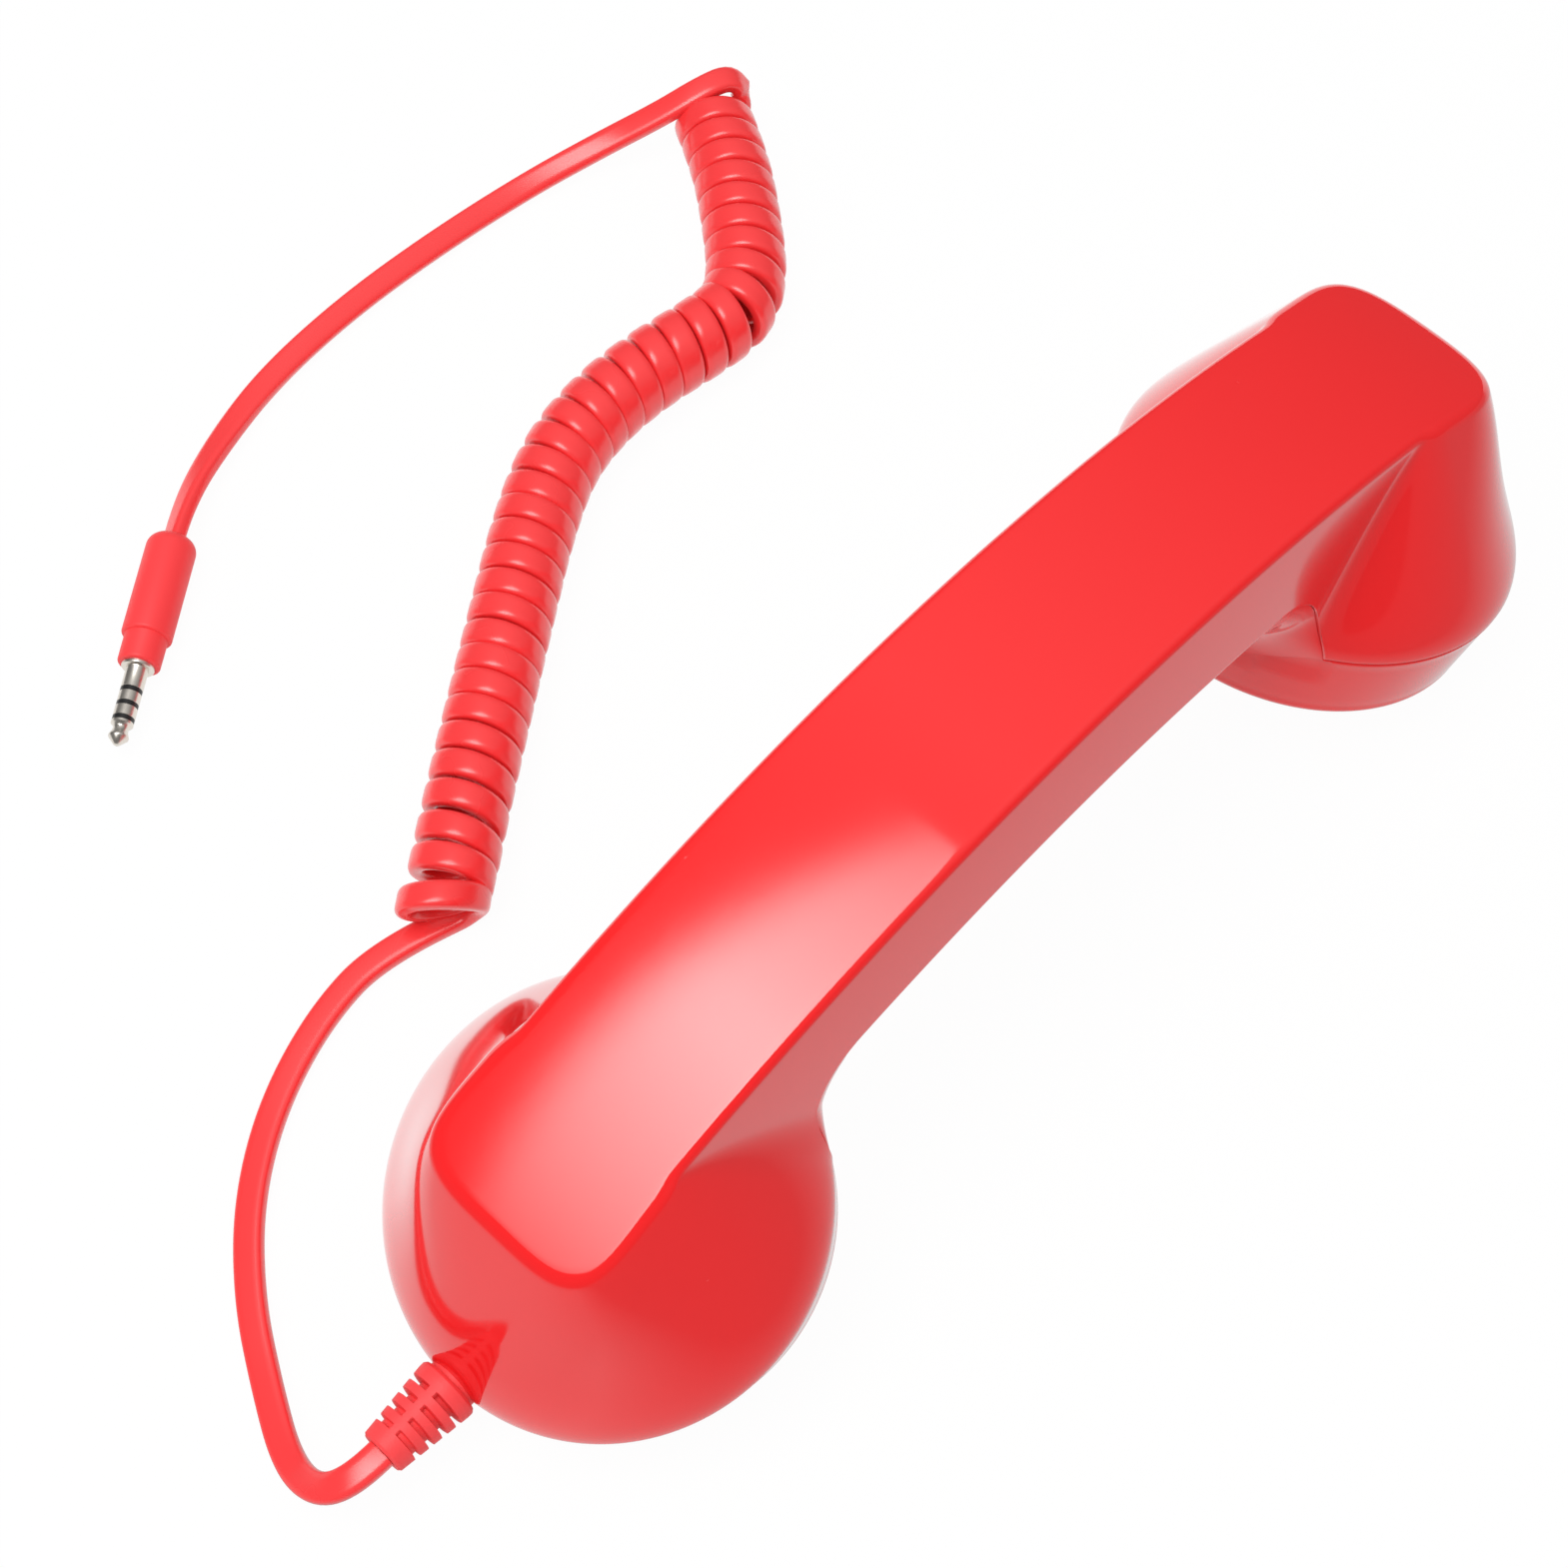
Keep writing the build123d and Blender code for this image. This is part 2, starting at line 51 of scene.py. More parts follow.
ring_height, ring_flare, lip = 14.0, 2.2, 0.15
dome_rise, dome_lean, dome_top_radius, dome_shoulder, dome_corner = 33.0, 7.5, 14.75, 0.12, 2.5
neck_radius, throat_round, throat_x, throat_foot, ear_bulge = 8.0, 12.0, 52.1, 8.0, 2.6
wall, bore_radius, cap_seat, ledge_thick, ledge_radius = 2.4, 27.0, 3.2, 1.6, 24.6
ct, st = math.cos(math.radians(cup_tilt)), math.sin(math.radians(cup_tilt))
draft = math.tan(math.radians(side_draft))
rim_z = (rim_radius - rim_round) * st + rim_round * (1 - ct)
arc_z = back_height - back_radius
ring_top_radius = rim_radius + ring_flare
seam_radius = ring_top_radius + lip
relief_x = cup_x + ring_height * st + ring_top_radius * ct
relief_z = rim_z + ring_height * ct - ring_top_radius * st

# Small edges of the mouldings, and how far the throat's skin covers the ring's wall
seam_gap, seam_edge, back_edge, ring_edge, ring_cover = 0.07, 0.3, 1.2, 0.35, 0.06

# The underside's sections fan out from this height, and lie closer beyond this angle in radians
fan_height, throat_angle = 8.0, 0.82

# Strain relief
relief_length, relief_big, relief_small, relief_neck, relief_core = 13.0, 4.75, 3.5, 3.9, 3.0
window_rows, window_first, window_pitch, window_length = 4, 2.75, 2.25, 0.95
window_edge, bridge_width = 0.16, 1.3

# Plug: where the cord enters it, its heading, and lengths along its axis
plug_start, plug_heading = (-40.9, 133.3, 4.1), -144.9
plug_body_end, plug_neck_end, plug_end = 18.4, 23.4, 37.4
plug_radius, tip_length, contact_pitch, insulator_length = 1.75, 4.0, 2.5, 0.75

# Flat cord and its coil
cord_width, cord_thick, winding_radius, coil_axis_z = 4.4, 2.6, 5.4, 6.8


# Meshes

def make_piece(name, points, faces, look, body="handset"):
    """A mesh piece from points in millimetres. Doubles are merged and faces turned outwards."""
    mesh = bpy.data.meshes.new(name)
    mesh.from_pydata((np.asarray(points).reshape(-1, 3) * 0.001).tolist(), [], faces)
    form = bmesh.new()
    form.from_mesh(mesh)
    bmesh.ops.remove_doubles(form, verts=form.verts, dist=2e-6)
    bmesh.ops.dissolve_degenerate(form, edges=form.edges, dist=1e-7)
    bmesh.ops.recalc_face_normals(form, faces=form.faces)
    form.to_mesh(mesh)
    form.free()
    mesh.shade_smooth()
    mesh.set_sharp_from_angle(angle=math.radians(42))
    mesh.materials.append(look)
    piece = bpy.data.objects.new(name, mesh)
    bpy.context.scene.collection.objects.link(piece)
    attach(piece, body)
    return piece


def grid_faces(rows, columns, around_rows=False, around_columns=False, first=0):
    """Four-sided faces between neighbours of a grid of points, closed round either way if asked."""
    i = np.arange(rows if around_rows else rows - 1)[:, None]
    j = np.arange(columns if around_columns else columns - 1)[None, :]
    k, m = (i + 1) % rows, (j + 1) % columns
    quads = np.stack([i * columns + j, i * columns + m, k * columns + m, k * columns + j], axis=-1)
    return (quads.reshape(-1, 4) + first).tolist()


def turned(profile, steps, place):
    """A profile of (radius, height) turned round an axis: (r cos a, r sin a, h), put in place."""
    r, h = np.asarray(profile, float).T
    a = np.linspace(0, 2 * math.pi, steps, endpoint=False)[:, None]
    points = place(r * np.cos(a), r * np.sin(a), h + 0 * a)
    return points, grid_faces(steps, len(r), around_rows=True, around_columns=True)


def bend(centre_r, centre_h, radius, start, end, steps=7):
    """Points of an arc in a profile, between two angles in degrees."""
    a = np.radians(np.linspace(start, end, steps))
    return list(zip(centre_r + radius * np.cos(a), centre_h + radius * np.sin(a)))


def step_up(x, start, width):
    """0 below start, 1 above start + width, with a smooth rise between."""
    t = np.clip((x - start) / width, 0, 1)
    return t * t * (3 - 2 * t)


def in_cup(x, y, h, side=1):
    """From a cup's tilted frame to the handset's frame. side is 1 for the ear and -1 for the mouth."""
    return np.stack([side * (cup_x + x * ct + h * st), y + 0 * x, rim_z + h * ct - x * st], axis=-1)


# The handset's form

def inside_form(x, y, z, inset):
    """True inside the drafted band of the handle, the dome round a cup, or the rolling-ball fillet of
    the two. The dome is a circle that shrinks, leans and squares off with its height above the seam."""
    dx, dz = x - cup_x, z - rim_z
    h, e = dx * st + dz * ct, dx * ct - dz * st
    v = np.maximum((h - ring_height) / dome_rise, 0)
    taper = (np.hypot(v, dome_shoulder) - dome_shoulder) / (np.hypot(1, dome_shoulder) - dome_shoulder)
    r = np.maximum(seam_radius - (seam_radius - dome_top_radius) * taper, 0.6 * dome_top_radius) - inset
    band = back_width / 2 + draft * (back_radius - np.hypot(x, z - arc_z)) - inset
    e = e + dome_lean * v
    n = 2 + dome_corner * np.minimum(v, 1.1) ** 3
    front = (np.maximum(e, 0) / r) ** n + (y / np.maximum(r, band)) ** n < 1
    ball = neck_radius + inset
    ball_e = -np.sqrt(np.maximum((r + ball) ** 2 - (band + ball) ** 2, 0))
    on_arc = (ball_e < e) & (e < ball_e * r / (r + ball)) & (y < band + ball)
    neck = (r > band) & on_arc & (np.hypot(e - ball_e, y - band - ball) > ball)
    return np.where(e > 0, front, (y < band) | (np.hypot(e, y) < r) | neck)


def reach(x0, c, s, z, inset=0.0):
    """How far level rays from (x0, 0) towards (c, s) go before they leave the form, by halving."""
    x0, c, s, z = np.broadcast_arrays(x0, c, s, z)
    low, high = np.zeros(z.shape), np.full(z.shape, 2 * seam_radius)
    for _ in range(32):
        middle = (low + high) / 2
        within = inside_form(x0 + middle * c, middle * s, z, inset)
        low, high = np.where(within, middle, low), np.where(within, high, middle)
    return low


def back_level(x, inset=0.0):
    """Height of the handle's cylindrical back."""
    return arc_z + np.sqrt((back_radius - inset) ** 2 - x ** 2)


def seam_level(x):
    """Height of the seam: an arc along the handle, a round corner at the throat, the cup's plane."""
    arc = back_radius - seam_depth
    mid_x = throat_x - throat_round
    mid_z = arc_z + math.sqrt((arc - throat_round) ** 2 - mid_x ** 2)
    join_x = arc * mid_x / (arc - throat_round)
    x = np.abs(x)
    corner = mid_z + np.sqrt(np.maximum(throat_round ** 2 - (x - mid_x) ** 2, 0))
    plane = rim_z + ring_height * ct - (x - cup_x - ring_height * st) * st / ct
    handle = arc_z + np.sqrt(np.maximum(arc ** 2 - x ** 2, 0))
    return np.where(x < join_x, handle, np.where(x <= throat_x, corner, plane))


def level_on(surface, x0, c, s, inset=0.0):
    """The height at which each ray's wall meets a surface z = f(x), by halving."""
    low, high = np.full(x0.shape, 4.0), np.full(x0.shape, 78.0)
    for _ in range(36):
        z = (low + high) / 2
        under = z < surface(x0 + reach(x0, c, s, z, inset) * c)
        low, high = np.where(under, z, low), np.where(under, high, z)
    return low


def rounded(start, corner, end, steps):
    """A quarter-round conic from start to end in the corner's angle, without its two end points."""
    t = np.linspace(0, 1, steps + 2)[1:-1]
    a, b, c = (1 - t) ** 2, 2 * math.sqrt(0.5) * t * (1 - t), t ** 2
    start, corner, end = (np.asarray(p)[..., None] for p in (start, corner, end))
    return (a * start + b * corner + c * end) / (a + b + c)


def ear_end(points):
    """The ear's end is fuller towards the back than the mouth's: it is moved outwards along the back,
    most at its middle, growing with the height above the seam."""
    x, y, z = points[..., 0], points[..., 1], points[..., 2]
    height = ((x - cup_x) * st + (z - rim_z) * ct - ring_height) / dome_rise
    out = ear_bulge * (1 - (y / 22) ** 2) * step_up(height, 0.15, 0.85) * step_up(x, 66, 24)
    return np.stack([x + out, y, z + back_level(x + out) - back_level(x)], axis=-1)


def outer_shell_skin(look):
    """Sections on level rays from the spine: along the back, round its edge, down the wall to the seam,
    in across the seam, up inside the wall and back to the spine. Three mirrored copies close the ring.
    At the throat two sections share their wall down to the seam's step, and the second goes on below."""
    throat = [42.6, 43.6, 44.8, 46, 47.2, 48.3, 49.4, 50.4, 51.2, 51.7, 51.95, throat_x, throat_x + 1e-6]
    spine_end, end_sections = 76.0, 50
    x0 = np.concatenate([np.linspace(0, 41, 30), throat, np.arange(52.6, spine_end, 0.6)])
    turn = np.radians(np.concatenate([np.full(len(x0), 90.0), np.linspace(90, 0, end_sections)]))
    x0 = np.concatenate([x0, np.full(end_sections, spine_end)])
    c, s = np.where(turn > 1.5707, 0.0, np.cos(turn)), np.sin(turn)
    top, foot = level_on(back_level, x0, c, s), level_on(seam_level, x0, c, s)
    inner_top = level_on(lambda x: back_level(x, wall), x0, c, s, wall)
    edge = reach(x0, c, s, top)
    col = (x0[:, None], c[:, None], s[:, None])

    along = (edge - back_edge)[:, None] * np.linspace(0, 1, 22) ** 0.85
    back = (along, back_level(col[0] + along * col[1]))
    side_start, low = top - back_edge, foot + seam_gap + seam_edge
    step = float(seam_level(throat_x) - seam_level(throat_x + 1e-6))
    split = np.where(x0 > throat_x, low + step, low)
    wall_z = np.concatenate([side_start[:, None] + (split - side_start)[:, None] * np.linspace(0, 1, 46),
                             split[:, None] + (low - split)[:, None] * np.linspace(0, 1, 15)[1:]], 1)
    side = (reach(*col, wall_z), wall_z)
    edge_round = (rounded(along[:, -1], edge, side[0][:, 0], 7), rounded(back[1][:, -1], top, side_start, 7))
    base, under = side[0][:, -1], foot + seam_gap
    lip_round = (rounded(base, base, base - seam_edge, 4), rounded(wall_z[:, -1], under, under, 4))
    seam = (np.stack([base - seam_edge, base - wall], 1), np.stack([under, under], 1))
    inner_z = under[:, None] + (inner_top - under)[:, None] * np.linspace(0.05, 1, 9)
    inner = (reach(*col, inner_z, wall), inner_z)
    inward = inner[0][:, -1:] * np.linspace(0.75, 0, 4)
    roof = (inward, back_level(col[0] + inward * col[1], wall))
    rho, z = (np.concatenate(parts, 1) for parts in zip(back, edge_round, side, lip_round, seam, inner, roof))
    quarter = np.stack([col[0] + rho * col[1], rho * col[2], z], axis=-1)

    right = np.concatenate([quarter, (quarter * (1, -1, 1))[-2::-1]])
    left = (right * (-1, 1, 1))[::-1][1:-1]
    ring = np.concatenate([ear_end(right), left])
    faces = grid_faces(len(ring), ring.shape[1], around_rows=True)
    piece = make_piece("outer_shell_skin", ring, faces, look)
    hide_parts("outer_shell")
    return piece


def in_underside(x, y, z):
    """True inside the solid over the handle's underside: the slab under the back, the throat that curves
    up from the ring, or the ring itself."""
    dx, dz = x - cup_x, z - rim_z
    h, e = dx * st + dz * ct, dx * ct - dz * st
    r = np.hypot(e, y)

    def ring_wall(height):
        return rim_radius + ring_flare * (height - rim_round) / (ring_height - rim_round)
    flare = math.atan(ring_flare / (ring_height - rim_round))
    foot = ring_wall(throat_foot + throat_round * math.sin(flare))
    middle = foot + throat_round * math.cos(flare)
    arc = throat_foot + np.sqrt(throat_round ** 2 - np.clip(middle - r, 0, middle - foot) ** 2)
    throat = (r < middle) & (h > arc)
    ring = (r < ring_wall(h) + ring_cover) & (h < ring_height)
    slab = np.hypot(x, z - arc_z) > back_radius - handle_depth
    return slab | throat | ring


def handle_underside():
    """Sections on planes that fan out from a level line under the handle, closer at the throats: out along
    the underside, up to the seam in a quarter ellipse just inside the outer shell's edge, and back inside
    the wall."""
    end = math.atan2(throat_x - 0.02, float(seam_level(np.array(throat_x + 1e-3))) - fan_height)
    at_throat = np.linspace(throat_angle, end, 60)
    a = np.concatenate([-at_throat[::-1], np.linspace(-throat_angle, throat_angle, 60)[1:-1], at_throat])
    sx, cz = np.abs(np.sin(a)), np.cos(a)

    def first(test):
        low, high = np.zeros(a.shape), np.full(a.shape, 75.0)
        for _ in range(34):
            t = (low + high) / 2
            hit = test(t)
            low, high = np.where(hit, low, t), np.where(hit, t, high)
        return high

    def at(t):
        return t * sx, fan_height + t * cz

    def past_seam(t):
        x, z = at(t)
        return (x > throat_x - 0.01) | (z > seam_level(np.minimum(x, throat_x)))
    seam = first(past_seam)

    def under(y):
        return first(lambda t: in_underside(at(t)[0], y, at(t)[1]) | (t > seam - 0.5))

    seam_x, seam_z = at(seam)
    top_y, top_t = reach(seam_x, 0.0, 1.0, seam_z) - underside_inset, seam - seam_gap
    flat_y = (top_y - underside_round)[:, None] * np.linspace(0, 1, 20)
    climb = np.radians(np.linspace(0, 90, 22))[1:]
    round_y = (top_y - underside_round)[:, None] + underside_round * np.sin(climb)
    flat, floor_t = (np.stack([under(row) for row in rows.T], 1) for rows in (flat_y, round_y))
    round_t = floor_t + (top_t[:, None] - floor_t) * (1 - np.cos(climb))
    inner_y = np.stack([top_y - wall, top_y - underside_round, 0 * top_y], 1)
    inner_t = np.stack([top_t] + [np.minimum(flat[:, k] + wall, top_t - 0.3) for k in (-1, 0)], 1)
    y = np.concatenate([flat_y, round_y, inner_y], 1)
    t = np.concatenate([flat, round_t, inner_t], 1)
    x = np.sign(a)[:, None] * t * sx[:, None]
    half = np.stack([x, y, fan_height + t * cz[:, None]], axis=-1)
    rows, columns = y.shape
    faces = grid_faces(rows, columns)
    faces += [list(range(columns)), list(range((rows - 1) * columns, rows * columns))]
    return half, faces


def inner_shell_skin(look):
    """The handle's underside with both mirrored halves, and the two turned rings. Each ring's upper edge is
    drawn in where the throat covers it."""
    half, half_faces = handle_underside()
    points, faces = [half.reshape(-1, 3), (half * (1, -1, 1)).reshape(-1, 3)], list(half_faces)
    count = half.size // 3
    faces += [[v + count for v in face[::-1]] for face in half_faces]
    top, brim, edge = ring_height - seam_gap, ring_top_radius + 0.04, ring_edge
    ring = [(bore_radius, top), (brim - edge, top)] + bend(brim - edge, top - edge, edge, 90, 0, 6)
    for t in np.linspace(0.08, 0.92, 8):
        ring.append((ring_top_radius - ring_flare * t, ring_height - (ring_height - rim_round) * t))
    ring += bend(rim_radius - rim_round, rim_round, rim_round, 8, -90, 9)
    ring += [(bore_radius + edge, 0.0)] + bend(bore_radius + edge, edge, edge, -90, -180, 5)
    ring += [(bore_radius, cap_seat), (ledge_radius, cap_seat), (ledge_radius, cap_seat + ledge_thick),
             (bore_radius, cap_seat + ledge_thick)]
    for side in (1, -1):
        start = sum(len(p) for p in points)
        ring_points, ring_faces = turned(ring, 160, lambda x, y, h: in_cup(x, y, h, side))
        hidden = (np.abs(ring_points[..., 0]) < throat_x) & (ring_points[..., 2] > rim_z + 17)
        ring_points[..., 0] += np.where(hidden, side * 0.7, 0)
        points.append(ring_points.reshape(-1, 3))
        faces += (np.array(ring_faces) + start).tolist()
    piece = make_piece("inner_shell_skin", np.concatenate(points), faces, look)
    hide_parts("inner_shell")
    return piece


# Strain relief and plug

def relief_sleeve(look):
    """A tapered sleeve: radius over (distance, angle), cut down to the core in rows of windows on both
    sides of the bridges along its top and bottom."""
    s = np.concatenate([np.linspace(-3.5, 0.3, 6), np.linspace(0.36, relief_length, 190)])
    a = np.linspace(0, 2 * math.pi, 144, endpoint=False)
    distance, angle = s[:, None], a[None, :]
    skin = relief_big + (relief_small - relief_big) * np.clip((distance - 1.6) / (relief_length - 1.6), 0, 1)
    skin = relief_neck - 0.02 + (skin - relief_neck + 0.02) * step_up(distance, 0.34, 0.1)
    skin = skin - 0.3 * step_up(-distance, -0.9, 0.5) * step_up(distance, 0.34, 0.1)
    skin = skin - 0.3 * step_up(distance, relief_length - 0.35, 0.35)
    cut = 0 * distance * angle
    middle_radius = 4.0
    beside = step_up(np.abs(np.sin(angle)) * middle_radius, bridge_width / 2, window_edge)
    for row in range(window_rows):
        low = window_first + window_pitch * row
        along = step_up(distance, low, window_edge) * step_up(-distance, -low - window_length, window_edge)
        cut = np.maximum(cut, along * beside)
    radius = skin - (skin - relief_core) * cut
    shape = np.stack([-(relief_x + distance) + 0 * angle, radius * np.sin(angle),
                      relief_z + radius * np.cos(angle)], axis=-1)
    mouth = np.stack([-(relief_x + relief_length) + 0 * angle, 1.2 * np.sin(angle),
                      relief_z + 1.2 * np.cos(angle)], axis=-1)
    inner = mouth + (3.5 + relief_length, 0, 0)
    points = np.concatenate([inner, shape, mouth])
    faces = grid_faces(len(points), len(a), around_rows=True, around_columns=True)
    piece = make_piece("relief_sleeve", points, faces, look)
    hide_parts("strain_relief")
    return piece


def plug_piece(name, profile, look, *nodes):
    """A piece of the plug, turned about its axis from (radius, distance) points."""
    c, s = math.cos(math.radians(plug_heading)), math.sin(math.radians(plug_heading))

    def place(x, y, h):
        return np.stack([h * c - x * s, h * s + x * c, y], axis=-1) + plug_start
    points, faces = turned(profile, 72, place)
    piece = make_piece(name, points, faces, look)
    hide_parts(*nodes)
    return piece


def plug_profiles():
    """Closed profiles of the moulded body, the sleeve, the contact rings, the insulators and the tip."""
    body_end, neck_end, end, shaft = plug_body_end, plug_neck_end, plug_end, plug_radius
    body = [(0.0, 0.0), (1.7, 0.0)] + bend(1.7, 2.3, 2.3, -90, 0, 12)
    body += [(4.0, 9.0), (4.0, body_end - 0.5)] + bend(3.5, body_end - 0.5, 0.5, 0, 90, 6)[1:]
    body += [(3.42, body_end + 0.02), (3.4, body_end + 0.1), (3.38, neck_end - 0.5)]
    body += bend(2.88, neck_end - 0.5, 0.5, 0, 90, 6)[1:] + [(0.0, neck_end)]
    tip_start = end - tip_length
    sleeve_end = tip_start - 2 * contact_pitch - insulator_length
    sleeve = [(0.0, neck_end - 0.4), (2.6, neck_end - 0.4), (2.6, neck_end + 0.35)]
    sleeve += bend(2.35, neck_end + 0.35, 0.25, 0, 90, 5)[1:] + [(1.8, neck_end + 0.6)]
    sleeve += [(shaft, neck_end + 0.7), (shaft, sleeve_end - 0.04), (shaft - 0.05, sleeve_end),
               (0.0, sleeve_end)]

    def band(start, length, radius, edge):
        stop = start + length
        return [(0.0, start), (radius - edge, start), (radius, start + edge), (radius, stop - edge),
                (radius - edge, stop), (0.0, stop)]
    tip = [(0, 0), (1.7, 0), (shaft, 0.05), (shaft, 0.42), (1.55, 0.6), (1.28, 0.8), (1.2, 1.1), (1.22, 1.5),
           (1.38, 2.0), (1.55, 2.35), (1.6, 2.55), (1.55, 2.75), (0.5, tip_length - 0.1), (0.3, tip_length),
           (0, tip_length)]
    tip = [(radius, tip_start + distance) for radius, distance in tip]
    starts, ring_length = [sleeve_end + contact_pitch * k for k in range(3)], contact_pitch - insulator_length
    rings = [band(start + insulator_length, ring_length, shaft, 0.04) for start in starts[:2]]
    insulators = [band(start, insulator_length, shaft - 0.03, 0.02) for start in starts]
    return body, sleeve, rings, insulators, tip


# Cord. The control points are given in metres.

tail_route = [(-0.1189, 0, 0.0122), (-0.124, 0, 0.0122), (-0.1282, 0.0036, 0.0082), (-0.1278, 0.011, 0.0032),
              (-0.1226, 0.0212, 0.0018), (-0.1159, 0.0324, 0.0017), (-0.1064, 0.0432, 0.0017),
              (-0.0942, 0.0516, 0.0017), (-0.0798, 0.0569, 0.0017), (-0.0666, 0.058, 0.0017),
              (-0.0546, 0.0536, 0.002)]
coil_route = [(-0.056, 0.0545), (-0.0453, 0.0623), (-0.031, 0.0721), (-0.0163, 0.082), (-0.002, 0.0916),
              (0.01, 0.098), (0.0213, 0.1001), (0.0323, 0.0997), (0.0426, 0.0978), (0.0504, 0.0971),
              (0.057, 0.1012), (0.0643, 0.1097), (0.0718, 0.1196), (0.0768, 0.129)]
plug_route = [(0.0816, 0.1268, 0.007), (0.0834, 0.1266, 0.0102), (0.0814, 0.1286, 0.0128),
              (0.0756, 0.1303, 0.0127), (0.0694, 0.1333, 0.0098), (0.0602, 0.1391, 0.005),
              (0.0466, 0.144, 0.0021), (0.027, 0.1463, 0.0024), (0.0084, 0.1473, 0.0025),
              (-0.0095, 0.1462, 0.0025), (-0.024, 0.1424, 0.0028), (-0.03517, 0.13733, 0.0041),
              (-0.0409, 0.1333, 0.0041)]


def distances(line):
    """The distance along a line at each of its points."""
    return np.concatenate([[0], np.cumsum(np.linalg.norm(np.diff(line, axis=0), axis=1))])


def between(at, places, values):
    """Values of each coordinate, read off between places."""
    return np.stack([np.interp(at, places, column) for column in values.T], 1)


def averaged(values, side, **ends):
    """A running mean over a value and its neighbours on each side, the ends padded by a numpy rule."""
    count = 2 * side + 1
    return np.convolve(np.pad(values, side, **ends), np.full(count, 1 / count), mode="valid")


def smooth_line(route, step):
    """Evenly spaced points, in millimetres, along a second-degree spline steered by the route's points."""
    data = bpy.data.curves.new("route", "CURVE")
    data.dimensions = "3D"
    data.resolution_u = 24
    spline = data.splines.new("NURBS")
    spline.points.add(len(route) - 1)
    for point, place in zip(spline.points, route):
        point.co = (*place, 1.0)
    spline.order_u = 3
    spline.use_endpoint_u = True
    carrier = bpy.data.objects.new("route", data)
    mesh = bpy.data.meshes.new_from_object(carrier)
    line = np.empty(len(mesh.vertices) * 3)
    mesh.vertices.foreach_get("co", line)
    line = line.reshape(-1, 3) * 1000
    bpy.data.objects.remove(carrier)
    bpy.data.curves.remove(data)
    bpy.data.meshes.remove(mesh)
    length = distances(line)
    even = np.linspace(0, length[-1], max(int(length[-1] / step), 2) + 1)
    return between(even, length, line)


def unit(v):
    return v / np.linalg.norm(v, axis=-1, keepdims=True)


def headings(line):
    return unit(np.gradient(line, axis=0))


def bridge_over(start, start_way, end, end_way, steps):
    """A cubic between two points with the given headings, without its end points."""
    t = np.linspace(0, 1, steps + 2)[1:-1, None]
    pull = 1.1 * np.linalg.norm(end - start)
    return ((2 * t ** 3 - 3 * t ** 2 + 1) * start + (t ** 3 - 2 * t ** 2 + t) * pull * start_way
            + (3 * t ** 2 - 2 * t ** 3) * end + (t ** 3 - t ** 2) * pull * end_way)


def laid(line, turns_at, angles):
    """The flat side's direction along a line that lies: up, square to the line, turned by angles in
    degrees that are set at distances along it."""
    way = headings(line)
    up = unit(np.array([0, 0, 1.0]) - way[:, 2:] * way)
    side = np.cross(way, up)
    a = np.interp(distances(line), turns_at, np.radians(angles))
    a = averaged(a, 8, mode="edge")[:, None]
    return np.cos(a) * up + np.sin(a) * side


def winding():
    """The coil: a left-handed helix about its own axis line. The start of the first turn and the tops of
    the next lie at given distances, and the rest follow at an even pitch. The first turn is lifted and
    wider. Returns the coil's points and outward directions."""
    axis = smooth_line([(x, y, coil_axis_z * 0.001) for x, y in coil_route], 0.5)
    length, way, up = distances(axis), headings(axis), np.array([0, 0, 1.0])
    first_turn, last_turn, points_a_turn = -0.25, 34.75, 52
    start_turns = [first_turn, 0, 0.25, 0.5, 0.75, 1, 1.5]
    start_places = [1.6, -1.7, -1.5, 1.8, 4.4, 5.0, 7.4]
    tops = [10.1, 15.5, 20.5, 25.3, 30.1, 34.5, 39.0, 43.2, 48.0, 52.4, 57.1, 61.6, 66.2, 70.4, 75.1]
    turn = np.concatenate([start_turns, np.arange(2, 2 + len(tops)), [last_turn]])
    place = np.concatenate([start_places, tops, [length[-1] - 0.2]])
    u = np.arange(first_turn, last_turn, 1 / points_a_turn)
    s = averaged(np.interp(u, turn, place), 6, mode="reflect", reflect_type="odd")
    t = unit(between(s, length, way))
    centre = between(s, length, axis) + np.minimum(s, 0)[:, None] * t
    right = np.stack([t[:, 1], -t[:, 0], 0 * s], 1)
    a = (2 * math.pi * u + math.pi / 2)[:, None]
    out = np.cos(a) * right + np.sin(a) * up
    lift = 1.7 * np.exp(-((u - 0.5) / 0.3) ** 2)[:, None] * up
    radius = winding_radius + 0.5 * np.exp(-((u - 0.2) / 0.3) ** 2)[:, None]
    return centre + radius * out + lift, out


